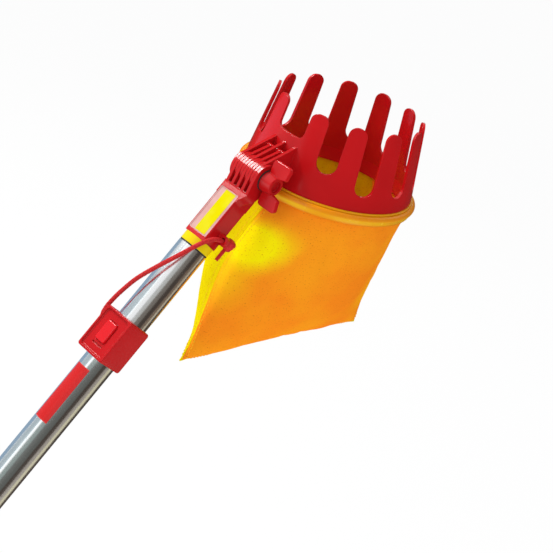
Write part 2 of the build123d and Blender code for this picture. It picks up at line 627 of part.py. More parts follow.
def bracket():
    """The crown's half of the hinge, round the bolt: knuckles, a cross web and three ribs to the wall."""
    sink = 0.8 * WALL
    wall_top = (HINGE_REACH - wall_radius(RIB_TOP) + sink, RIB_TOP - HINGE_RISE)
    wall_foot = (HINGE_REACH - wall_radius(RIB_FOOT) + sink, RIB_FOOT - HINGE_RISE)
    web_middle = WEB_REACH + WEB_THICKNESS / 2
    rib_at_web = tangent_height(wall_top, web_middle)
    web_top = rib_at_web - WEB_DROP
    web_foot = RIB_FOOT - HINGE_RISE
    ends = {True: (wall_top, wall_foot), False: ((web_middle, web_top), (web_middle, web_foot))}
    piece = None
    for number, place in enumerate(CROWN_KNUCKLE_PLACES):
        top, foot = ends[number % 2 == 0]
        outline = [tangent_point(top, 1), top, foot, tangent_point(foot, -1), (0, 0)]
        start = place - KNUCKLE_THICKNESS / 2
        end = place + KNUCKLE_THICKNESS / 2
        knuckle = leaf(outline, start, end) + rod(KNUCKLE_RADIUS, start, end)
        piece = knuckle if piece is None else piece + knuckle
    web_half = CROWN_KNUCKLE_PLACES[-1] + KNUCKLE_THICKNESS / 2
    web = [
        (WEB_REACH, web_foot),
        (WEB_REACH + WEB_THICKNESS, web_foot),
        (WEB_REACH + WEB_THICKNESS, web_top),
        (WEB_REACH, web_top),
    ]
    piece += leaf(web, -web_half, web_half)
    neck = BOLT_DIAMETER + 2 * SEAT
    piece -= Pos(0, FAR_END, 0) * Box(neck, 2 * BOLT_NECK_LENGTH, neck)
    return piece - rod(BOLT_RADIUS + SEAT, -web_half, web_half)


def tangent_height(outside, across):
    """The height, at a distance across, of the line from an outside point to the top of a knuckle."""
    touch = tangent_point(outside, 1)
    share = (across - touch[0]) / (outside[0] - touch[0])
    return touch[1] + share * (outside[1] - touch[1])


def bag_ring():
    """The ring round the crown's foot: thin top lip, groove, fat bead and a slope in to the cloth."""
    lip = RING_BORE + RING_LIP
    bead = RING_BORE + RING_BEAD
    groove = lip - RING_GROOVE
    foot = RING_BORE + RING_FOOT
    bead_half = RING_BEAD_DROP - RING_LIP_HEIGHT - RING_GROOVE
    outline = [
        Polyline((groove, -RING_LIP_HEIGHT - RING_GROOVE), (lip, -RING_LIP_HEIGHT), (lip, -SEAT)),
        Polyline((lip, -SEAT), (RING_BORE, -SEAT), (RING_BORE, -RING_HEIGHT), (foot, -RING_HEIGHT)),
        Line((foot, -RING_HEIGHT), (bead - RING_LIP / 2, -RING_BEAD_DROP - bead_half)),
        ThreePointArc(
            (bead - RING_LIP / 2, -RING_BEAD_DROP - bead_half),
            (bead, -RING_BEAD_DROP),
            (groove, -RING_LIP_HEIGHT - RING_GROOVE),
        ),
    ]
    return ON_CROWN * revolve(Plane.XZ * make_face(outline), Axis.Z)


def girth(half_width, half_depth):
    """The girth of an ellipse, by a well-known approximation."""
    root = math.sqrt((3 * half_width + half_depth) * (half_width + 3 * half_depth))
    return math.pi * (3 * (half_width + half_depth) - root)


def bag_section(share):
    """The bag's half width and half depth at a share of its depth. Its girth goes from round to flat."""
    half_width = HEM_RADIUS + (BAG_HALF_WIDTH - HEM_RADIUS) * share
    target = 2 * math.pi * HEM_RADIUS * (1 - share) + 4 * BAG_HALF_WIDTH * share
    low = 0.0
    high = HEM_RADIUS
    while high - low > SEAT / 10:
        middle = (low + high) / 2
        if girth(half_width, middle) < target:
            low = middle
        else:
            high = middle
    return half_width, high


def bag():
    """The cloth bag: a hem in the ring, sides that go from a circle to a straight bottom, and its seam."""
    outer = []
    inner = []
    for share in BAG_STATIONS:
        half_width, half_depth = bag_section(share)
        level = Pos(0, 0, -RING_HEIGHT - SEAT - BAG_DEPTH * share)
        outer.append(level * Ellipse(half_width, half_depth))
        inner.append(level * Ellipse(half_width - CLOTH, half_depth - CLOTH))
    bottom = -RING_HEIGHT - SEAT - BAG_DEPTH
    closing = loft([outer[-1], Pos(0, 0, bottom) * Ellipse(BAG_HALF_WIDTH, SEAM_THICKNESS / 2)])
    piece = loft(outer) + closing - loft(inner)
    hem_height = RING_HEIGHT - RING_LIP_HEIGHT
    hem = Cylinder(HEM_RADIUS, hem_height, align=UPWARDS)
    hem -= Cylinder(HEM_RADIUS - HEM_THICKNESS, hem_height, align=UPWARDS)
    piece += Pos(0, 0, -RING_HEIGHT - SEAT) * hem
    seam = Box(2 * BAG_HALF_WIDTH, SEAM_THICKNESS, 2 * SEAM_HEIGHT)
    return ON_CROWN * (piece + Pos(0, 0, bottom) * seam)


def cord_point(place):
    """A place of the cord's route as a point of the pole's upright frame."""
    share, across, out = place
    along = LOWER_EYELET[0] + share * (UPPER_EYELET[0] - LOWER_EYELET[0])
    return Vector(-out, across, along)


def knot_place(place, lean, side):
    """The centre of the stopper knot under an eyelet, on one side of it along the hole."""
    drop = EYELET_HEIGHT / 2 + SEAT + KNOT_RADIUS
    return (eyelet_axis(place, lean) * Pos(0, 0, side * drop)).position


def safety_cord():
    """The cord: straight runs joined by arcs as large as the runs allow, from knot to knot."""
    upper = knot_place(UPPER_EYELET, ARM_EYELET_LEAN, 1)
    lower = knot_place(LOWER_EYELET, HOUSING_EYELET_LEAN, -1)
    points = [upper] + [cord_point(place) for place in CORD_ROUTE] + [lower]
    radii = []
    for before, here, after in zip(points, points[1:], points[2:]):
        turn = math.radians((here - before).get_angle(after - here))
        shorter = min((here - before).length, (after - here).length)
        radii.append(0.45 * shorter / math.tan(turn / 2))
    path = FilletPolyline(*points, radius=radii)
    print("cord radii", [round(radius, 1) for radius in radii])
    print("cord length", round(path.length - KNOT_DIAMETER, 1), "between its knots")
    tube = sweep(Plane(origin=path @ 0, z_dir=path % 0) * Circle(CORD_RADIUS), path)
    print("cord volume ratio", round(tube.volume / (math.pi * CORD_RADIUS**2 * path.length), 4))
    for centre in (upper, lower):
        tube -= Pos(*centre) * Sphere(KNOT_RADIUS + SEAT)
    return LEANED * tube


def knot(centre, tail_length):
    """A stopper knot: a tight round knot with its tail pointing down the pole."""
    ball = Sphere(KNOT_RADIUS)
    reach = KNOT_RADIUS + tail_length
    tail = Pos(0, 0, -reach) * Cylinder(TAIL_DIAMETER / 2, reach, align=UPWARDS)
    tail = fillet(tail.edges().sort_by(Axis.Z)[0], TAIL_DIAMETER / 4)
    return LEANED * Pos(*centre) * (ball + tail)


def knot_upper():
    """The knot below the arm's eyelet."""
    return knot(knot_place(UPPER_EYELET, ARM_EYELET_LEAN, 1), UPPER_TAIL)


def knot_lower():
    """The knot below the housing's eyelet."""
    return knot(knot_place(LOWER_EYELET, HOUSING_EYELET_LEAN, -1), LOWER_TAIL)


PIECES = (
    pole_tube,
    pole_label,
    catch_housing,
    housing_rivet,
    release_button,
    catch_pin,
    catch_spring,
    plug,
    mouth_seal,
    plug_screw,
    arm,
    arm_badge,
    arm_label,
    hinge_bolt,
    hinge_washer,
    wing_nut,
    nut_insert,
    crown,
    bag_ring,
    bag,
    safety_cord,
    knot_upper,
    knot_lower,
)

os.makedirs("parts", exist_ok=True)
for piece in PIECES:
    export_step(piece(), f"parts/{piece.__name__}.step")
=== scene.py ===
import math
import random

import bmesh
import bpy
import numpy as np
from mathutils import Matrix, Quaternion, Vector


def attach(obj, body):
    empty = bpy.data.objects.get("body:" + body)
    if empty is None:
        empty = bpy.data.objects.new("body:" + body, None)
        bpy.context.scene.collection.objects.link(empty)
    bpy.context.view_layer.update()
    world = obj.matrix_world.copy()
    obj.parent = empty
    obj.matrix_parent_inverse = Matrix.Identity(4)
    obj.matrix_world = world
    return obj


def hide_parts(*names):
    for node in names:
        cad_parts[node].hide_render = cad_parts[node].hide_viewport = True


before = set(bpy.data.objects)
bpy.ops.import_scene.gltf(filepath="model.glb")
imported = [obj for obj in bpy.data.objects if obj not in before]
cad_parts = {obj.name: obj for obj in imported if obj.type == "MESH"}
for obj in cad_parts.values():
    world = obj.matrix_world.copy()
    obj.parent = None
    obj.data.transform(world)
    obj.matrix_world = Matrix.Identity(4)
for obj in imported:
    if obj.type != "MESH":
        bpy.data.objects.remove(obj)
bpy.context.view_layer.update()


# The pole's top stretch is a drawn aluminium tube with a thin wall. It is polished along its length, so fine
# lines run that way, and it is rubbed a little duller where hands slide along it.
POLE_LEAN = math.radians(35.3)
TUBE_PALE = (0.90, 0.90, 0.89, 1)
TUBE_GREY = (0.74, 0.76, 0.78, 1)
DRAWN_LINES = (700, 700, 5)
BROAD_BANDS = (240, 240, 2)


class Shade:
    """An output of a material's nodes, with arithmetic that adds Math nodes."""

    def __init__(self, tree, socket):
        self.tree = tree
        self.socket = socket

    def node(self, kind, settings, inputs, output=0):
        """Adds a node of any kind, with its settings first and then the values or links of its sockets."""
        made = self.tree.nodes.new("ShaderNode" + kind)
        for name, value in settings.items():
            setattr(made, name, value)
        for name, value in inputs.items():
            if isinstance(value, Shade):
                self.tree.links.new(value.socket, made.inputs[name])
            else:
                made.inputs[name].default_value = value
        return Shade(self.tree, made.outputs[output])

    def maths(self, operation, first, second):
        """A Math node on two outputs or numbers."""
        return self.node("Math", {"operation": operation}, {0: first, 1: second})

    def __add__(self, other):
        return self.maths("ADD", self, other)

    def __sub__(self, other):
        return self.maths("SUBTRACT", self, other)

    def __rsub__(self, other):
        return self.maths("SUBTRACT", other, self)

    def __mul__(self, other):
        return self.maths("MULTIPLY", self, other)

    __radd__ = __add__
    __rmul__ = __mul__

    def step(self, low, high):
        """A soft step from 0 at the low value to 1 at the high one."""
        settings = {"interpolation_type": "SMOOTHSTEP"}
        return self.node("MapRange", settings, {"Value": self, "From Min": low, "From Max": high})

    def noise(self, scale, detail=2.0):
        """Cloudy noise from 0 to 1, read at this vector."""
        return self.node("TexNoise", {}, {"Vector": self, "Scale": scale, "Detail": detail})

    def stretched(self, sizes):
        """This vector with each of its axes scaled."""
        return self.node("VectorMath", {"operation": "MULTIPLY"}, {0: self, 1: sizes})

    def mix(self, first, second):
        """One colour where this value is 0 and the other where it is 1."""
        return self.node("Mix", {"data_type": "RGBA"}, {0: self, 6: first, 7: second}, 2)

    def bump(self, strength, depth, normal=None):
        """A normal that follows this value as a height."""
        inputs = {"Height": self, "Strength": strength, "Distance": depth}
        if normal is not None:
            inputs["Normal"] = normal
        return self.node("Bump", {}, inputs)

    def into(self, surface, socket):
        """Links this output to a socket of the surface node."""
        self.tree.links.new(self.socket, surface.inputs[socket])


def new_finish(name, constants):
    """A material with its constant sockets set, its surface node and its Object coordinates."""
    material = bpy.data.materials.new(name)
    material.use_nodes = True
    tree = material.node_tree
    surface = tree.nodes["Principled BSDF"]
    for socket, value in constants.items():
        surface.inputs[socket].default_value = value
    place = Shade(tree, tree.nodes.new("ShaderNodeTexCoord").outputs["Object"])
    return material, surface, place


def along_pole(place):
    """Object coordinates turned so that Z runs along the pole and the label side is at -X."""
    return place.node("Mapping", {}, {"Vector": place, "Rotation": (0, -POLE_LEAN, 0)})


def dress(material, *names):
    """Puts a finish on CAD nodes."""
    for name in names:
        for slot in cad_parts[name].material_slots:
            slot.material = material


aluminium, surface, place = new_finish("polished_aluminium", {"Metallic": 1.0})
upright = along_pole(place)
drawn_lines = upright.stretched(DRAWN_LINES).noise(1.0, 3.0)
broad_bands = upright.stretched(BROAD_BANDS).noise(1.0, 1.0)
hand_rubs = place.noise(38, 5.0).step(0.52, 0.75)
broad_bands.mix(TUBE_GREY, TUBE_PALE).into(surface, "Base Color")
(0.18 + drawn_lines * 0.06 + hand_rubs * 0.06).into(surface, "Roughness")
drawn_lines.bump(0.06, 0.00004).into(surface, "Normal")
dress(aluminium, "pole_tube")


# The sticker is a thin red film with a faint gloss, stuck on the tube below the block and left plain here.
# Its cut edges have gone a little pale.
STICKER_RED = (0.60, 0.014, 0.014, 1)
STICKER_WORN = (0.68, 0.10, 0.08, 1)
STICKER_MIDDLE = 0.1255
STICKER_HALF = 0.029
STICKER_WEAR = 0.0014

sticker_film, surface, place = new_finish("sticker_film", {"Specular IOR Level": 0.2})
upright = along_pole(place)
height = upright.node("SeparateXYZ", {}, {0: upright}, "Z")
from_middle = height.node("Math", {"operation": "ABSOLUTE"}, {0: height - STICKER_MIDDLE})
edge_wear = from_middle.step(STICKER_HALF - STICKER_WEAR, STICKER_HALF) * place.noise(900, 3.0)
edge_wear.mix(STICKER_RED, STICKER_WORN).into(surface, "Base Color")
(0.22 + place.noise(120, 4.0) * 0.16).into(surface, "Roughness")
place.noise(260, 2.0).bump(0.06, 0.0002).into(surface, "Normal")
dress(sticker_film, "pole_label")


# The catch block is a red moulding, riveted to the far side of the tube. A push key with rounded edges sits
# in the tray in its top. Both are glossy, with a faint ripple from the mould, and their edges are painted
# paler, as rubbing wear and as painted highlight, strongest along the block's rims.
RED = (0.58, 0.007, 0.010, 1)
RED_DEEP = (0.49, 0.006, 0.008, 1)
KEY_RED = (0.74, 0.008, 0.014, 1)
RED_RUBBED_SHEEN = (0.66, 0.06, 0.04, 1)
BLOCK_RED = (0.54, 0.006, 0.009, 1)
BLOCK_DEEP = (0.46, 0.005, 0.007, 1)
# A strong pale edge colour for the block, which paints a highlight along the tray's rims as well as rubbing
# wear.
BLOCK_RUBBED_HIGHLIGHT = (0.86, 0.24, 0.17, 1)
EDGE_ROUND = 0.0006
BLOCK_EDGE_ROUND = 0.0009
EDGE_SAMPLES = 6
BLOCK_GLOSS = 0.18
KEY_GLOSS = 0.36


def moulded(name, colour, deep, wear_and_sheen, edge_round, gloss):
    """A moulded plastic: faint shifts of its colour, fine scuffs, and rounded edges painted pale, as rubbing
    wear and as painted sheen.
    """
    material, surface, place = new_finish(name, {"Specular IOR Level": gloss})
    soft_edge = place.node("Bevel", {"samples": EDGE_SAMPLES}, {"Radius": edge_round})
    true_normal = place.node("NewGeometry", {}, {}, "Normal")
    flat = place.node("VectorMath", {"operation": "DOT_PRODUCT"}, {0: soft_edge, 1: true_normal}, "Value")
    scuffs = place.noise(420, 5.0)
    # The rounded edges are painted paler in patches: partly rubbing wear, partly painted sheen where light
    # would catch them.
    rub_and_sheen = (1 - flat).step(0.04, 0.30) * scuffs.step(0.35, 0.65)
    clouds = place.noise(16, 3.0).step(0.3, 0.7)
    base = clouds.mix(deep, colour)
    (rub_and_sheen * 0.55).mix(base, wear_and_sheen).into(surface, "Base Color")
    (0.30 - 0.5 * gloss + scuffs * 0.08 + rub_and_sheen * 0.10).into(surface, "Roughness")
    ripple = place.noise(90, 2.0) + scuffs * 0.03
    ripple.bump(0.07, 0.0006, soft_edge).into(surface, "Normal")
    return material


block_red = moulded("block_red", BLOCK_RED, BLOCK_DEEP, BLOCK_RUBBED_HIGHLIGHT, BLOCK_EDGE_ROUND, BLOCK_GLOSS)
dress(block_red, "catch_housing")
key_red = moulded("key_red", KEY_RED, RED, RED_RUBBED_SHEEN, EDGE_ROUND, KEY_GLOSS)
dress(key_red, "release_button")


# Two rivets hold the block on. They, the catch pin, its V-shaped flat spring and the two countersunk screws
# in the arm's underside are bright steel, with fine marks and a little oil haze.
STEEL_PALE = (0.72, 0.72, 0.71, 1)
STEEL_DULL = (0.50, 0.50, 0.51, 1)

steel, surface, place = new_finish("bright_steel", {"Metallic": 1.0})
haze = place.noise(220, 4.0)
fine = place.noise(2600, 2.0)
haze.step(0.3, 0.7).mix(STEEL_DULL, STEEL_PALE).into(surface, "Base Color")
(0.22 + haze * 0.18).into(surface, "Roughness")
fine.bump(0.08, 0.00005).into(surface, "Normal")
dress(steel, "housing_rivet", "catch_pin", "catch_spring", "plug_screw")


# The plug is the yellow adaptor that joins the arm to the tube. Only its collar shows between them, on a
# thin near-black ring at the tube's mouth.
YELLOW = (0.84, 0.64, 0.001, 1)
YELLOW_DEEP = (0.80, 0.54, 0.001, 1)
YELLOW_RUBBED_SHEEN = (0.86, 0.72, 0.12, 1)
RUBBER_BLACK = (0.018, 0.014, 0.014, 1)
RUBBER_GREY = (0.05, 0.042, 0.042, 1)
PLUG_GLOSS = 0.1

plug_yellow = moulded("plug_yellow", YELLOW, YELLOW_DEEP, YELLOW_RUBBED_SHEEN, EDGE_ROUND, PLUG_GLOSS)
dress(plug_yellow, "plug")

dark_rubber, surface, place = new_finish("dark_rubber", {"Specular IOR Level": 0.35})
place.noise(500, 4.0).mix(RUBBER_BLACK, RUBBER_GREY).into(surface, "Base Color")
(0.5 + place.noise(350, 3.0) * 0.2).into(surface, "Roughness")
place.noise(900, 3.0).bump(0.2, 0.0002).into(surface, "Normal")
dress(dark_rubber, "mouth_seal")


# The arm is a glossier red moulding than the block. A pale framed plate lies in the recess in its face, and
# a plain yellow paper label is stuck on that.
PLATE_PALE = (0.60, 0.30, 0.28, 1)
PLATE_WHITE = (0.68, 0.42, 0.39, 1)
LABEL_YELLOW = (0.72, 0.63, 0.002, 1)
LABEL_FADED = (0.72, 0.65, 0.02, 1)
ARM_GLOSS = 0.34

gloss_red = moulded("gloss_red", RED, RED_DEEP, RED_RUBBED_SHEEN, EDGE_ROUND, ARM_GLOSS)
dress(gloss_red, "arm")

pale_plate, surface, place = new_finish("pale_plate", {"Specular IOR Level": 0.05})
place.noise(60, 3.0).step(0.3, 0.7).mix(PLATE_PALE, PLATE_WHITE).into(surface, "Base Color")
(0.24 + place.noise(300, 4.0) * 0.14).into(surface, "Roughness")
place.noise(200, 2.0).bump(0.06, 0.0003).into(surface, "Normal")
dress(pale_plate, "arm_badge")

label_paper, surface, place = new_finish("label_paper", {"Specular IOR Level": 0.0})
fibres = place.stretched((1, 1, 0.4)).noise(1400, 3.0)
place.noise(70, 3.0).step(0.35, 0.75).mix(LABEL_YELLOW, LABEL_FADED).into(surface, "Base Color")
(0.34 + fibres * 0.15).into(surface, "Roughness")
fibres.bump(0.05, 0.0001).into(surface, "Normal")
dress(label_paper, "arm_label")


# The safety cord is red braided polypropylene, from the block's eyelet up to the arm's, with a stopper knot
# behind each eyelet. Points of its route are up the pole, across it and out on the label side, in metres.
CORD_RADIUS = 0.0022
BRAID_PITCH = 0.0135
BRAID_STRANDS = 8
STRAND_RADIUS = 0.00052
BRAID_STEP = 0.0007
CORE_SIDES = 10
STRAND_SIDES = 5
ASKEW = (0.3, 0.8, 0.5)
UPPER_KNOT = (0.3135, -0.0188, -0.0118)
LOWER_KNOT = (0.18165, 0.0238, -0.0098)
CORD_ROUTE = (
    UPPER_KNOT,
    (0.3122, -0.0187, 0.0043),
    (0.3024, -0.0174, 0.0150),
    (0.2892, -0.0138, 0.0196),
    (0.2762, -0.0080, 0.0207),
    (0.2640, -0.0015, 0.0212),
    (0.2516, 0.0050, 0.0211),
    (0.2404, 0.0112, 0.0199),
    (0.2281, 0.0166, 0.0172),
    (0.2156, 0.0213, 0.0142),
    (0.2046, 0.0240, 0.0115),
    (0.1954, 0.0242, 0.0085),
    LOWER_KNOT,
)
KNOT_REACH = 0.0042
KNOT_CORE = 0.0056
KNOT_STEPS = 120
TAIL_RADIUS = 0.0019
UPPER_TAIL = 0.0170
LOWER_TAIL = 0.0130
CORD_RED = (0.68, 0.020, 0.022, 1)
CORD_DARK = (0.52, 0.008, 0.010, 1)


def on_pole(up, across, out):
    """A point of the part from its place along, across and out from the pole's axis."""
    x = up * math.sin(POLE_LEAN) - out * math.cos(POLE_LEAN)
    z = up * math.cos(POLE_LEAN) + out * math.sin(POLE_LEAN)
    return Vector((x, across, z))


def smooth_line(points):
    """The points along a NURBS spline that has these control points."""
    curve = bpy.data.curves.new("route", "CURVE")
    curve.dimensions = "3D"
    curve.resolution_u = 16
    spline = curve.splines.new("NURBS")
    spline.points.add(len(points) - 1)
    for knot_point, point in zip(spline.points, points):
        knot_point.co = (*point, 1)
    spline.order_u = 3
    spline.use_endpoint_u = True
    holder = bpy.data.objects.new("route", curve)
    mesh = bpy.data.meshes.new_from_object(holder)
    line = np.array([vertex.co for vertex in mesh.vertices])
    bpy.data.objects.remove(holder)
    bpy.data.curves.remove(curve)
    bpy.data.meshes.remove(mesh)
    return line


def evenly(line, spacing):
    """The line again with points a set distance apart, and each point's distance along it."""
    runs = np.linalg.norm(np.diff(line, axis=0), axis=1)
    travelled = np.concatenate([[0.0], np.cumsum(runs)])
    count = max(2, round(travelled[-1] / spacing) + 1)
    wanted = np.linspace(0.0, travelled[-1], count)
    even = np.stack([np.interp(wanted, travelled, line[:, axis]) for axis in range(3)], axis=1)
    return even, wanted


def side_vectors(line):
    """Two sideways directions at each point of a line, carried along it without twisting."""
    ahead = np.gradient(line, axis=0)
    ahead /= np.linalg.norm(ahead, axis=1)[:, None]
    side = np.zeros_like(line)
    start = np.cross(ahead[0], ASKEW)
    side[0] = start / np.linalg.norm(start)
    for index in range(1, len(line)):
        kept = side[index - 1] - ahead[index] * np.dot(side[index - 1], ahead[index])
        side[index] = kept / np.linalg.norm(kept)
    return side, np.cross(ahead, side)


def tube_mesh(line, radius, sides, points, faces):
    """Adds a tube with closed flat ends along a line to lists of points and faces."""
    first, second = side_vectors(line)
    angles = np.arange(sides) * 2 * math.pi / sides
    start = len(points)
    for centre, across, over in zip(line, first, second):
        for angle in angles:
            points.append(centre + radius * (across * math.cos(angle) + over * math.sin(angle)))
    for ring in range(len(line) - 1):
        for side in range(sides):
            here = start + ring * sides + side
            beside = start + ring * sides + (side + 1) % sides
            faces.append((here, beside, beside + sides, here + sides))
    last = start + (len(line) - 1) * sides
    faces.append(tuple(reversed(range(start, start + sides))))
    faces.append(tuple(range(last, last + sides)))


def braid_along(line, radius, points, faces):
    """Adds braided cord along a line: two sets of strands that wind against each other, over a plain core."""
    even, travelled = evenly(line, BRAID_STEP)
    first, second = side_vectors(even)
    tube_mesh(even, radius - 1.5 * STRAND_RADIUS, CORE_SIDES, points, faces)
    middle = radius - 1.35 * STRAND_RADIUS
    weave = np.cos(2 * math.pi * BRAID_STRANDS * travelled / BRAID_PITCH)
    for hand in (1, -1):
        lift = middle + hand * 0.35 * STRAND_RADIUS * weave
        for strand_number in range(BRAID_STRANDS):
            turn = hand * 2 * math.pi * travelled / BRAID_PITCH
            angle = turn + 2 * math.pi * strand_number / BRAID_STRANDS
            outwards = first * np.cos(angle)[:, None] + second * np.sin(angle)[:, None]
            tube_mesh(even + outwards * lift[:, None], STRAND_RADIUS, STRAND_SIDES, points, faces)


def finished_mesh(name, points, faces):
    """A smooth mesh of the points and faces."""
    mesh = bpy.data.meshes.new(name)
    mesh.from_pydata([tuple(point) for point in points], [], faces)
    mesh.shade_smooth()
    return mesh


def new_piece(name, mesh, material):
    """An object for a finished mesh, with its finish."""
    piece = bpy.data.objects.new(name, mesh)
    bpy.context.scene.collection.objects.link(piece)
    mesh.materials.clear()
    mesh.materials.append(material)
    return piece


cord_fibre, surface, place = new_finish("cord_fibre", {"Specular IOR Level": 0.25})
place.noise(700, 3.0).step(0.3, 0.7).mix(CORD_DARK, CORD_RED).into(surface, "Base Color")
(0.42 + place.noise(1500, 2.0) * 0.2).into(surface, "Roughness")
place.noise(4200, 2.0).bump(0.3, 0.0001).into(surface, "Normal")

cord_line = smooth_line([on_pole(*point) for point in CORD_ROUTE])
cord_points = []
cord_faces = []
braid_along(cord_line, CORD_RADIUS, cord_points, cord_faces)
safety_cord = new_piece("braided_cord", finished_mesh("braided_cord", cord_points, cord_faces), cord_fibre)
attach(safety_cord, "pole")
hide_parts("safety_cord")


def stopper_knot(name, centre, tail):
    """A tight double knot, two trefoils pulled round a solid heart, with its tail down the pole."""
    up, across, out = centre
    middle = on_pole(up, across, out)
    heart = bmesh.new()
    bmesh.ops.create_icosphere(heart, subdivisions=3, radius=KNOT_CORE)
    points = [middle + vertex.co for vertex in heart.verts]
    faces = [tuple(vertex.index for vertex in face.verts) for face in heart.faces]
    heart.free()
    for quarter in (0, 1):
        loop = []
        for angle in np.linspace(0, 2 * math.pi, KNOT_STEPS):
            x = math.sin(angle) + 2 * math.sin(2 * angle)
            y = math.cos(angle) - 2 * math.cos(2 * angle)
            z = -2.1 * math.sin(3 * angle)
            bend = Vector((z, x, y)) if quarter else Vector((x, z, y))
            loop.append(middle + bend * (KNOT_REACH / 3))
        braid_along(np.array(loop), CORD_RADIUS, points, faces)
    braid_along(np.array([middle, on_pole(up - tail, across, out)]), TAIL_RADIUS, points, faces)
    return finished_mesh(name, points, faces)


knot_places = (("knot_upper", UPPER_KNOT, UPPER_TAIL), ("knot_lower", LOWER_KNOT, LOWER_TAIL))
for node, centre, tail in knot_places:
    name = "braided_" + node
    knot = new_piece(name, stopper_knot(name, centre, tail), cord_fibre)
    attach(knot, "pole")
    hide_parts(node)

tuple(on_pole(*CORD_ROUTE[1]))


# The hinge is clamped by a steel carriage bolt and a red wing nut with a steel nut pressed in, on a thin
# washer of dark rubber, near-black like the ring at the tube's mouth.
dress(steel, "hinge_bolt", "nut_insert")
dress(dark_rubber, "hinge_washer")
dress(gloss_red, "wing_nut")


# The crown is one red moulding: a slightly conical wall cut into twelve fingers, with ribs and knuckles on
# the pole side. The ring clips round its foot and clamps the bag's hem. Its plastic is orange, with painted
# yellow highlights along its lip and its bead.
RING_LEVEL = 0.300238
RING_ORANGE = (0.84, 0.27, 0.002, 1)
RING_HIGHLIGHT_YELLOW = (0.92, 0.58, 0.003, 1)
RING_EDGE = 0.0011
LIP_HIGHLIGHT = (0.0024, 0.0010)
BEAD_HIGHLIGHT_TOP = (0.0040, 0.0068)
BEAD_HIGHLIGHT_FOOT = (0.0112, 0.0086)

dress(gloss_red, "crown")

ring_plastic, surface, place = new_finish("ring_plastic", {"Specular IOR Level": 0.3})
below_top = RING_LEVEL - place.node("SeparateXYZ", {}, {0: place}, "Z")
# Painted highlights: the lip and the bead are mixed toward yellow, broken up round the ring by noise that
# also varies its roughness.
lip_highlight = below_top.step(*LIP_HIGHLIGHT) * 0.4
bead_highlight = below_top.step(*BEAD_HIGHLIGHT_TOP) * below_top.step(*BEAD_HIGHLIGHT_FOOT)
roughness_and_highlight_noise = place.noise(24, 4.0).step(0.25, 0.75)
(lip_highlight + bead_highlight * (0.25 + roughness_and_highlight_noise * 0.75)).mix(RING_ORANGE, RING_HIGHLIGHT_YELLOW).into(surface, "Base Color")
(0.2 + roughness_and_highlight_noise * 0.15).into(surface, "Roughness")
soft_edge = place.node("Bevel", {"samples": EDGE_SAMPLES}, {"Radius": RING_EDGE})
place.noise(90, 2.0).bump(0.10, 0.0006, soft_edge).into(surface, "Normal")
dress(ring_plastic, "bag_ring")


# The bag is two panels of yellow-orange cotton canvas, sewn together at both sides and along a straight
# bottom seam. Its round hem is clamped in the ring, and it hangs free below, so its cloth is left to sag.
RING_TOP = Vector((0.319683, 0.0, RING_LEVEL))
RING_HEIGHT = 0.0114
HEM_TOP = -0.0015
HEM_RADIUS = 0.0800
BAG_DEPTH = 0.1735
BAG_HALF_WIDTH = 0.1250
CANVAS = 0.0009
COLUMNS = 144
HEM_ROWS = 3
ROWS = 54
ALL_ROWS = HEM_ROWS + ROWS
SAG_LIMIT = 0.006
SEAM_TURN = 0.0085
BACK_FULLNESS = 0.26
BACK_SQUARENESS = 0.34
BOTTOM_RISE = 0.005
OUTLINE_STEPS = 1440
START_SHAKE = 0.0002
SHAKE_SEED = 7
HANG_FRAMES = 30
FOLDS = (
    ((0.60, 0.74), (0.84, 0.46), 0.0011, 0.0030),
    ((0.54, 0.83), (0.74, 0.60), 0.0009, 0.0028),
    ((0.62, 0.95), (0.76, 0.86), 0.0010, 0.0026),
    ((0.02, 0.98), (0.30, 0.62), 0.0016, 0.0075),
    ((0.10, 0.95), (0.58, 0.42), 0.0026, 0.0160),
)
PANEL = (0.504, 0.197)
PANEL_SEAM = (0.2515, 0.2525)
# Painted light on the front panel: a glow patch where light comes through the cloth, a lit strip along the
# left seam and a highlight along the right edge, all held off just below the hem, which is left as painted
# shade.
GLOW_PATCH = (0.275, 0.056, 0)
GLOW_PATCH_FADE = (0.041, 0.010)
LEFT_LIT_FADE = (0.300, 0.256)
LEFT_LIT_DROP = (0.150, 0.080)
RIGHT_HIGHLIGHT_FADE = (0.420, 0.490)
RIGHT_HIGHLIGHT_DROP = (0.175, 0.125)
HEM_SHADE_FADE = (0.024, 0.056)
THREAD_SCALE = 290
# Panel colours: the front's orange is painted shade, the back's yellow is painted light.
SHADED_FRONT_ORANGE = (0.94, 0.25, 0.013, 1)
SHADED_FRONT_WARM = (0.96, 0.33, 0.013, 1)
# The yellow of the painted glow.
GLOW_YELLOW = (0.99, 0.86, 0.004, 1)
LIT_BACK_YELLOW = (0.84, 0.70, 0.003, 1)
LIT_BACK_WARM = (0.80, 0.50, 0.004, 1)
FLECK_BROWN = (0.50, 0.10, 0.006, 1)


def girth(half_width, half_depth):
    """The girth of an ellipse, by a well-known approximation."""
    root = math.sqrt((3 * half_width + half_depth) * (half_width + 3 * half_depth))
    return math.pi * (3 * (half_width + half_depth) - root)


def bag_outline(share):
    """The bag's half width and half depth at a share of its depth. Its girth goes from round to flat."""
    half_width = HEM_RADIUS + (BAG_HALF_WIDTH - HEM_RADIUS) * share
    target = 2 * math.pi * HEM_RADIUS * (1 - share) + 4 * BAG_HALF_WIDTH * share
    low = 0.0
    high = HEM_RADIUS
    for halving in range(30):
        middle = (low + high) / 2
        if girth(half_width, middle) < target:
            low = middle
        else:
            high = middle
    return half_width, high


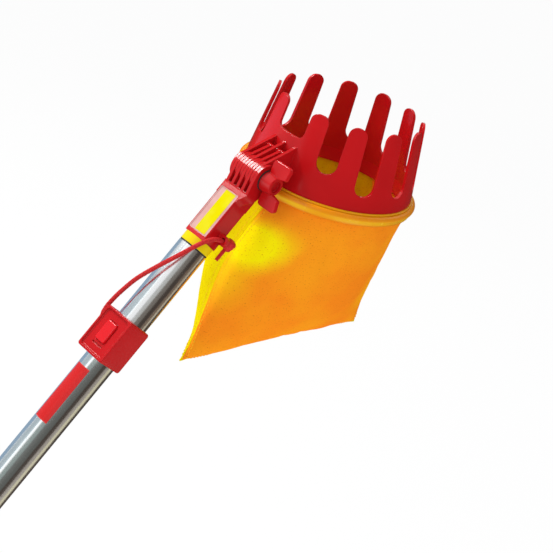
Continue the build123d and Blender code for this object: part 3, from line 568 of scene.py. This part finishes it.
def even_ellipse(half_width, half_depth, fullness, squareness, start):
    """Points the same distance apart round an ellipse with a fuller, squarer back, from just past +X on."""
    angles = np.linspace(0.0, 2 * math.pi, OUTLINE_STEPS + 1)
    front = np.sin(angles)
    back = (1 + fullness) * np.abs(front) ** (1 - squareness)
    deep = half_depth * np.where(front > 0, back, front)
    outline = np.stack([half_width * np.cos(angles), deep], axis=1)
    runs = np.linalg.norm(np.diff(outline, axis=0), axis=1)
    travelled = np.concatenate([[0.0], np.cumsum(runs)])
    wanted = (start + np.arange(COLUMNS) * travelled[-1] / COLUMNS) % travelled[-1]
    return np.stack([np.interp(wanted, travelled, outline[:, axis]) for axis in range(2)], axis=1)


def bag_points():
    """The bag's rows of points from its hem down. The bottom row has one point where both panels meet."""
    points = []
    for row in range(HEM_ROWS):
        height = HEM_TOP - (RING_HEIGHT + HEM_TOP) * row / HEM_ROWS
        points += [(x, y, height) for x, y in even_ellipse(HEM_RADIUS, HEM_RADIUS, 0.0, 0.0, SEAM_TURN)]
    for row in range(ROWS):
        share = row / ROWS
        half_width, half_depth = bag_outline(share)
        fullness = BACK_FULLNESS * math.sin(math.pi * share) ** 2
        squareness = BACK_SQUARENESS * math.sin(math.pi * share)
        for x, y in even_ellipse(half_width, half_depth, fullness, squareness, SEAM_TURN * (1 - share)):
            rise = BOTTOM_RISE * share * (1 - (x / half_width) ** 2)
            points.append((x, y, rise - RING_HEIGHT - BAG_DEPTH * share))
    half = COLUMNS // 2
    for column in range(half + 1):
        across = 1 - 2 * column / half
        rise = BOTTOM_RISE * (1 - across**2)
        points.append((BAG_HALF_WIDTH * across, 0.0, rise - RING_HEIGHT - BAG_DEPTH))
    return np.array(points) + np.array(RING_TOP)


def bag_corner(row, column):
    """The number of the point at a row and a column. The bottom row is folded in two."""
    column %= COLUMNS
    if row == ALL_ROWS:
        column = min(column, COLUMNS - column)
    return row * COLUMNS + column


def bag_mesh():
    """The bag's faces, with a map of thread lengths round and down the cloth, in metres."""
    faces = []
    threads = []
    for row in range(ALL_ROWS):
        for column in range(COLUMNS):
            corners = ((row + 1, column), (row + 1, column + 1), (row, column + 1), (row, column))
            face = [bag_corner(*corner) for corner in corners]
            if len(set(face)) == 4:
                faces.append(face)
                for down, along in corners:
                    threads.append((along / COLUMNS * PANEL[0], down / ALL_ROWS * PANEL[1]))
    mesh = bpy.data.meshes.new("canvas_bag")
    mesh.from_pydata([tuple(point) for point in bag_points()], [], faces)
    thread_map = mesh.uv_layers.new(name="threads")
    thread_map.data.foreach_set("uv", np.array(threads).ravel())
    mesh.shade_smooth()
    return mesh


def hang(piece, still_rows):
    """Lets the cloth sag from its still rows for about a second, and softly caps how far each point goes."""
    mesh = piece.data
    started = np.array([vertex.co for vertex in mesh.vertices])
    chance = random.Random(SHAKE_SEED)
    for vertex in mesh.vertices:
        vertex.co += Vector((chance.uniform(-1, 1), chance.uniform(-1, 1), 0)) * START_SHAKE
    still = piece.vertex_groups.new(name="still")
    still.add(list(range(still_rows * COLUMNS)), 1.0, "REPLACE")
    cloth = piece.modifiers.new("cloth", "CLOTH")
    cloth.settings.vertex_group_mass = "still"
    cloth.settings.quality = 8
    cloth.settings.mass = 0.02
    cloth.settings.air_damping = 2.0
    cloth.settings.tension_stiffness = 40.0
    cloth.settings.compression_stiffness = 40.0
    cloth.settings.shear_stiffness = 12.0
    cloth.settings.bending_stiffness = 1.5
    cloth.settings.shrink_min = -0.006
    cloth.settings.use_pressure = True
    cloth.settings.uniform_pressure_force = 0.15
    cloth.collision_settings.use_collision = False
    for step in range(1, HANG_FRAMES + 1):
        bpy.context.scene.frame_set(step)
    graph = bpy.context.evaluated_depsgraph_get()
    sagged = bpy.data.meshes.new_from_object(piece.evaluated_get(graph))
    ended = np.array([vertex.co for vertex in sagged.vertices])
    bpy.data.meshes.remove(sagged)
    piece.modifiers.remove(cloth)
    bpy.context.scene.frame_set(1)
    moved = ended - started
    far = np.linalg.norm(moved, axis=1)
    capped = SAG_LIMIT * np.tanh(far / SAG_LIMIT) / np.maximum(far, 1e-9)
    mesh.vertices.foreach_set("co", (started + moved * capped[:, None]).ravel())
    mesh.update()


def crease(piece):
    """Raises the front panel's folds. Each runs between two places, in shares across and down the panel, and
    has a height and a width in metres."""
    mesh = piece.data
    half = COLUMNS // 2
    sides = [vertex.normal.copy() for vertex in mesh.vertices]
    for row in range(HEM_ROWS + 2, ALL_ROWS):
        for column in range(half + 1, COLUMNS):
            spot = np.array(((column - half) / half * PANEL[0] / 2, row / ALL_ROWS * PANEL[1]))
            lift = 0.0
            for start, end, height, width in FOLDS:
                first = np.array(start) * (PANEL[0] / 2, PANEL[1])
                run = np.array(end) * (PANEL[0] / 2, PANEL[1]) - first
                share = np.dot(spot - first, run) / np.dot(run, run)
                apart = np.linalg.norm(spot - first - run * min(1.0, max(0.0, share)))
                fade = math.sin(math.pi * min(1.0, max(0.0, 0.15 + 0.7 * share)))
                lift += height * fade * math.exp(-((apart / width) ** 2))
            number = bag_corner(row, column)
            mesh.vertices[number].co += sides[number] * lift
    mesh.update()


canvas, surface, place = new_finish("bag_canvas", {"Specular IOR Level": 0.0})
threads = place.node("UVMap", {"uv_map": "threads"}, {})
round_bag = place.node("SeparateXYZ", {}, {0: threads}, "X")
down_bag = place.node("SeparateXYZ", {}, {0: threads}, "Y")
warm = place.noise(14, 4.0).step(0.38, 0.68)
# The glow patch and the lit edges are painted light, faded out just below the hem as painted shade.
from_glow_patch = place.node("VectorMath", {"operation": "DISTANCE"}, {0: threads, 1: GLOW_PATCH}, "Value")
glow_patch = from_glow_patch.step(*GLOW_PATCH_FADE)
left_lit_edge = round_bag.step(*LEFT_LIT_FADE) * down_bag.step(*LEFT_LIT_DROP)
right_highlight = round_bag.step(*RIGHT_HIGHLIGHT_FADE) * down_bag.step(*RIGHT_HIGHLIGHT_DROP)
lit_edges = left_lit_edge * 0.65 + right_highlight * 0.6
painted_glow = (glow_patch * 0.9 + lit_edges) * down_bag.step(*HEM_SHADE_FADE) * (0.55 + place.noise(30, 3.0) * 0.9)
# The panels are lit and shaded copies of one canvas: the front painted orange as shade, the back yellow as
# light, split at the seam.
front = painted_glow.mix(warm.mix(SHADED_FRONT_ORANGE, SHADED_FRONT_WARM), GLOW_YELLOW)
back = (warm * 0.6).mix(LIT_BACK_YELLOW, LIT_BACK_WARM)
lit_and_shaded_panels = round_bag.step(*PANEL_SEAM).mix(back, front)
slubs = threads.stretched((1, 3.0, 1)).noise(520, 3.0)
flecks = threads.noise(640, 2.0).step(0.60, 0.72)
(flecks * 0.6).mix(lit_and_shaded_panels, FLECK_BROWN).into(surface, "Base Color")
(0.72 + slubs * 0.2).into(surface, "Roughness")
spacing = {"Vector": threads, "Scale": THREAD_SCALE, "Distortion": 0.6}
warp = threads.node("TexWave", {"bands_direction": "X"}, spacing)
weft = threads.node("TexWave", {"bands_direction": "Y"}, spacing)
weave = warp * weft + slubs * 0.5
weave.bump(0.35, 0.0005).into(surface, "Normal")

bag = new_piece("canvas_bag", bag_mesh(), canvas)
hang(bag, HEM_ROWS + 1)
crease(bag)
finer = bag.modifiers.new("finer", "SUBSURF")
finer.levels = 1
finer.render_levels = 1
thicker = bag.modifiers.new("thicker", "SOLIDIFY")
thicker.thickness = CANVAS
thicker.offset = 0.0
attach(bag, "head")
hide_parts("bag")


# The bag's side seams and its bottom seam are bound with a narrow welt, and a row of lock stitches in yellow
# thread runs beside each of them on both panels.
WELT_RADIUS = 0.0008
STITCH_LENGTH = 0.0027
STITCH_PITCH = 0.0036
THREAD_RADIUS = 0.00032
SIDE_INSET = 1.2
BOTTOM_INSET = 1.3
HALF_CELL = 0.5
WELT_SIDES = 8
THREAD_YELLOW = (0.96, 0.70, 0.02, 1)
THREAD_WARM = (0.92, 0.50, 0.01, 1)


def cloth_point(row, column, lift):
    """A point of the bag at a row and a column, also between them, lifted off the cloth."""
    low_row = min(int(row), ALL_ROWS - 1)
    low_column = math.floor(column)
    total = Vector((0, 0, 0))
    for row_step, row_share in ((0, 1 - (row - low_row)), (1, row - low_row)):
        for column_step, column_share in ((0, 1 - (column - low_column)), (1, column - low_column)):
            vertex = bag.data.vertices[bag_corner(low_row + row_step, low_column + column_step)]
            total += (vertex.co + vertex.normal * lift) * (row_share * column_share)
    return total


def stitch_nodes(finish):
    """Geometry nodes that set a short thread every so far along each edge line."""
    tree = bpy.data.node_groups.new("lock_stitches", "GeometryNodeTree")
    tree.interface.new_socket("Geometry", in_out="INPUT", socket_type="NodeSocketGeometry")
    for label in ("Pitch", "Stitch length", "Thread width"):
        tree.interface.new_socket(label, in_out="INPUT", socket_type="NodeSocketFloat")
    tree.interface.new_socket("Geometry", in_out="OUTPUT", socket_type="NodeSocketGeometry")
    kinds = {
        "given": "NodeGroupInput",
        "curve": "GeometryNodeMeshToCurve",
        "spaced": "GeometryNodeResampleCurve",
        "tangent": "GeometryNodeInputTangent",
        "turn": "FunctionNodeAlignRotationToVector",
        "stitch": "GeometryNodeMeshUVSphere",
        "size": "ShaderNodeCombineXYZ",
        "placed": "GeometryNodeInstanceOnPoints",
        "real": "GeometryNodeRealizeInstances",
        "dressed": "GeometryNodeSetMaterial",
        "result": "NodeGroupOutput",
    }
    made = {name: tree.nodes.new(kind) for name, kind in kinds.items()}
    made["spaced"].mode = "LENGTH"
    made["turn"].axis = "Z"
    made["stitch"].inputs["Segments"].default_value = 6
    made["stitch"].inputs["Rings"].default_value = 5
    made["stitch"].inputs["Radius"].default_value = 0.5
    made["dressed"].inputs["Material"].default_value = finish
    wires = (
        ("given", "Geometry", "curve", "Mesh"),
        ("curve", "Curve", "spaced", "Curve"),
        ("given", "Pitch", "spaced", "Length"),
        ("tangent", "Tangent", "turn", "Vector"),
        ("given", "Thread width", "size", "X"),
        ("given", "Thread width", "size", "Y"),
        ("given", "Stitch length", "size", "Z"),
        ("spaced", "Curve", "placed", "Points"),
        ("stitch", "Mesh", "placed", "Instance"),
        ("turn", "Rotation", "placed", "Rotation"),
        ("size", "Vector", "placed", "Scale"),
        ("placed", "Instances", "real", "Geometry"),
        ("real", "Geometry", "dressed", "Geometry"),
        ("dressed", "Geometry", "result", "Geometry"),
    )
    for source, output, target, socket in wires:
        tree.links.new(made[source].outputs[output], made[target].inputs[socket])
    return tree


thread, surface, place = new_finish("stitch_thread", {"Specular IOR Level": 0.2})
place.noise(600, 2.0).mix(THREAD_YELLOW, THREAD_WARM).into(surface, "Base Color")
(0.55 + place.noise(2500, 2.0) * 0.2).into(surface, "Roughness")
place.noise(5000, 2.0).bump(0.2, 0.0001).into(surface, "Normal")

half = COLUMNS // 2
last_row = ALL_ROWS
first_row = HEM_ROWS + 1
seam_rows = np.arange(first_row, last_row + 0.01, HALF_CELL)
bottom_columns = np.arange(0, half + 0.01, HALF_CELL)
side_lines = [[cloth_point(row, column, 0.0) for row in seam_rows] for column in (0, half)]
bottom_line = [cloth_point(last_row, column, 0.0) for column in bottom_columns]
welt_points = []
welt_faces = []
for line in side_lines + [bottom_line]:
    tube_mesh(np.array(line), WELT_RADIUS, WELT_SIDES, welt_points, welt_faces)
welts = new_piece("bag_welts", finished_mesh("bag_welts", welt_points, welt_faces), canvas)

stitch_lift = CANVAS / 2 + 0.3 * THREAD_RADIUS
stitch_rows = np.arange(first_row, last_row - 1.4, HALF_CELL)
bottom_row = last_row - BOTTOM_INSET
stitch_lines = []
for column in (SIDE_INSET, half - SIDE_INSET, half + SIDE_INSET, COLUMNS - SIDE_INSET):
    stitch_lines.append([cloth_point(row, column, stitch_lift) for row in stitch_rows])
for side in (0, half):
    inner_columns = np.arange(side + 1.5, side + half - 1.4, HALF_CELL)
    stitch_lines.append([cloth_point(bottom_row, column, stitch_lift) for column in inner_columns])
stitch_points = []
stitch_edges = []
for line in stitch_lines:
    start = len(stitch_points)
    stitch_edges += [(start + step, start + step + 1) for step in range(len(line) - 1)]
    stitch_points += line
seam_mesh = bpy.data.meshes.new("stitch_lines")
seam_mesh.from_pydata([tuple(point) for point in stitch_points], stitch_edges, [])
seam_lines = bpy.data.objects.new("stitch_lines", seam_mesh)
bpy.context.scene.collection.objects.link(seam_lines)
sewing = seam_lines.modifiers.new("sewing", "NODES")
sewing.node_group = stitch_nodes(thread)
sizes = {"Pitch": STITCH_PITCH, "Stitch length": STITCH_LENGTH, "Thread width": 2 * THREAD_RADIUS}
for item in sewing.node_group.interface.items_tree:
    if item.name in sizes:
        sewing[item.identifier] = sizes[item.name]
sewn = bpy.data.meshes.new_from_object(seam_lines.evaluated_get(bpy.context.evaluated_depsgraph_get()))
bpy.data.objects.remove(seam_lines)
sewn.shade_smooth()
stitches = new_piece("bag_stitches", sewn, thread)
for piece in (welts, stitches):
    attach(piece, "head")


# Stage: a plain pale floor well below the part, soft lamps above, behind, beside and low in front of it, and
# a camera where the photograph was taken from. Strip lamps beside the pole and large curved cards round it
# show in reflections alone.
EYE = (-0.530187, -0.652306, 0.681627)
LENS = 78.47
VIEW_RIGHT = (0.69351, -0.66310, 0.28167)
VIEW_UP = (0.12165, 0.49313, 0.86141)
VIEW_BACK = (-0.71010, -0.56313, 0.42266)
MIDDLE = Vector((0.23, 0.0, 0.20))
STRIP_REACH = 0.06
POLE_FOOT = -0.5
BLOCK_FOOT = 0.165
COLLAR = 0.345
CARD_REACH = 0.5
CARD_TOP = 1.2
CARD_STEPS = 12
CARD_DARK = (0.06, 0.045, 0.036, 1)
BLUE_TOP = 0.30
GROUND_HALF = 2.5
GROUND_HEIGHT = -0.28
FLOOR_HALF = 12
FLOOR_HEIGHT = -0.30
FLOOR_PALE = (0.90, 0.90, 0.90, 1)
FLOOR_WHITE = (0.92, 0.92, 0.92, 1)
FLOOR_GLOW = 0.92
SKY_GREY = (0.72, 0.73, 0.74, 1)
WHITE = (1, 1, 1, 1)
BLACK = (0, 0, 0, 1)


def new_lamp(name, width, height, power):
    """A flat rectangular lamp that the camera doesn't see."""
    lamp = bpy.data.lights.new(name, "AREA")
    lamp.shape = "RECTANGLE"
    lamp.size = width
    lamp.size_y = height
    lamp.energy = power
    holder = bpy.data.objects.new(name, lamp)
    holder.visible_camera = False
    bpy.context.scene.collection.objects.link(holder)
    return holder


def soft_lamp(name, direction, distance, size, roll, power):
    """A soft lamp that faces the part's middle, turned about its axis."""
    holder = new_lamp(name, size[0], size[1], power)
    holder.location = MIDDLE + Vector(direction).normalized() * distance
    facing = Vector(direction).to_track_quat("Z", "Y")
    holder.rotation_euler = (facing @ Quaternion((0, 0, 1), math.radians(roll))).to_euler()


soft_lamp("key_lamp", (-0.295, 0.58, 0.76), 1.43, (0.95, 0.16), -35, 14.0)
soft_lamp("rim_lamp", (0.70, 0.62, 0.35), 1.6, (0.6, 0.4), 0, 2.5)
soft_lamp("side_lamp", (-0.9, -0.33, 0.45), 1.8, (1.0, 1.0), 0, 5.0)
soft_lamp("low_lamp", (0.05, -0.62, -0.70), 0.62, (0.5, 0.3), 0, 0.8)


def strip_lamp(name, low, high, foot, top, colour):
    """A long flat lamp beside the pole that only reflections show, between two heights and two angles, from
    the label side to the wing nut. Its colour is how bright it looks there."""
    middle = math.radians((low + high) / 2)
    half = math.radians((high - low) / 2)
    width = 2 * STRIP_REACH * math.sin(half)
    height = top - foot
    outwards = on_pole(0, -math.sin(middle), math.cos(middle))
    upwards = on_pole(1, 0, 0)
    place = on_pole((foot + top) / 2, 0, 0) + outwards * (STRIP_REACH * math.cos(half))
    turned = Matrix((upwards.cross(outwards), upwards, outwards)).transposed().to_4x4()
    holder = new_lamp(name, width, height, math.pi * width * height)
    holder.data.color = colour
    holder.matrix_world = Matrix.Translation(place) @ turned
    holder.visible_diffuse = False


strip_lamp("upper_bright", -9, 26, BLOCK_FOOT, COLLAR, (0.94, 0.955, 0.964))
strip_lamp("upper_grey", 26, 50, BLOCK_FOOT, COLLAR, (0.44, 0.455, 0.444))
strip_lamp("upper_side", 50, 76, BLOCK_FOOT, COLLAR, (0.12, 0.115, 0.104))
strip_lamp("upper_warm", 104, 126, BLOCK_FOOT, COLLAR, (0.12, 0.08, 0.05))
strip_lamp("upper_beige", 126, 139, BLOCK_FOOT, COLLAR, (0.46, 0.415, 0.304))
strip_lamp("lower_bright", -14, 4, POLE_FOOT, BLOCK_FOOT, (0.94, 0.955, 0.964))
strip_lamp("lower_grey", 4, 28, POLE_FOOT, BLOCK_FOOT, (0.22, 0.29, 0.28))
strip_lamp("lower_side", 28, 72, POLE_FOOT, BLOCK_FOOT, (0.06, 0.08, 0.08))
strip_lamp("lower_warm", 96, 120, POLE_FOOT, BLOCK_FOOT, (0.24, 0.215, 0.19))
strip_lamp("lower_beige", 120, 144, POLE_FOOT, BLOCK_FOOT, (0.52, 0.49, 0.33))


def show_in_reflections(name, points, faces, colour):
    """Puts up a glowing card that is seen in reflections alone."""
    glow = {
        "Base Color": BLACK,
        "Specular IOR Level": 0.0,
        "Emission Color": colour,
        "Emission Strength": 1.0,
    }
    finish, surface, place = new_finish(name, glow)
    piece = new_piece(name, finished_mesh(name, points, faces), finish)
    piece.visible_camera = False
    piece.visible_diffuse = False
    piece.visible_shadow = False


def card(name, low, high, foot, top, colour):
    """A curved card round the pole, between two heights and two angles as a strip lamp is."""
    points = []
    faces = []
    for step in range(CARD_STEPS + 1):
        angle = math.radians(low + (high - low) * step / CARD_STEPS)
        for up in (foot, top):
            points.append(on_pole(up, -CARD_REACH * math.sin(angle), CARD_REACH * math.cos(angle)))
        if step:
            faces.append((2 * step - 2, 2 * step - 1, 2 * step + 1, 2 * step))
    show_in_reflections(name, points, faces, colour)


def level_square(half, height):
    """The corners of a level square about the origin."""
    return [(-half, -half, height), (half, -half, height), (half, half, height), (-half, half, height)]


card("blue_card", -62, -9, POLE_FOOT, BLUE_TOP, (0.46, 0.54, 0.58, 1))
card("dark_card", -9, 215, POLE_FOOT, CARD_TOP, CARD_DARK)
card("far_card", -142, -66, POLE_FOOT, COLLAR, (0.30, 0.42, 0.55, 1))
card("upper_card", -142, -66, COLLAR, CARD_TOP, CARD_DARK)
ground_corners = level_square(GROUND_HALF, GROUND_HEIGHT)
show_in_reflections("ground_card", ground_corners, [(0, 1, 2, 3)], (0.08, 0.06, 0.05, 1))

floor_mesh = bpy.data.meshes.new("floor")
floor_mesh.from_pydata(level_square(FLOOR_HALF, FLOOR_HEIGHT), [], [(0, 1, 2, 3)])
floor_finish, surface, place = new_finish("pale_floor", {"Roughness": 0.9, "Specular IOR Level": 0.1})
place.noise(3, 2.0).mix(FLOOR_PALE, FLOOR_WHITE).into(surface, "Base Color")


def seen_ray(place):
    """1 on a ray from the camera, or one that is mirrored or passes through, and 0 on other rays."""
    camera_ray = place.node("LightPath", {}, {}, "Is Camera Ray")
    glossy_ray = place.node("LightPath", {}, {}, "Is Glossy Ray")
    clear_ray = place.node("LightPath", {}, {}, "Is Transmission Ray")
    return (camera_ray + glossy_ray + clear_ray).step(0.0, 1.0)


white = place.node("Emission", {}, {"Color": WHITE, "Strength": 1.0})
lit = Shade(place.tree, surface.outputs[0])
pale = place.node("MixShader", {}, {0: seen_ray(place) * FLOOR_GLOW, 1: lit, 2: white})
pale.into(place.tree.nodes["Material Output"], "Surface")
floor = new_piece("floor", floor_mesh, floor_finish)

world = bpy.data.worlds.new("studio")
bpy.context.scene.world = world
world.use_nodes = True
backdrop = world.node_tree.nodes["Background"]
sky = Shade(world.node_tree, backdrop.outputs[0])
seen_ray(sky).mix(SKY_GREY, WHITE).into(backdrop, "Color")

camera = bpy.data.cameras.new("camera")
camera.sensor_width = 36.0
camera.lens = LENS
camera.clip_start = 0.05
eye = bpy.data.objects.new("camera", camera)
turned = Matrix((VIEW_RIGHT, VIEW_UP, VIEW_BACK)).transposed().to_4x4()
eye.matrix_world = Matrix.Translation(EYE) @ turned
bpy.context.scene.collection.objects.link(eye)
bpy.context.scene.camera = eye
bpy.context.scene.view_settings.view_transform = "Standard"
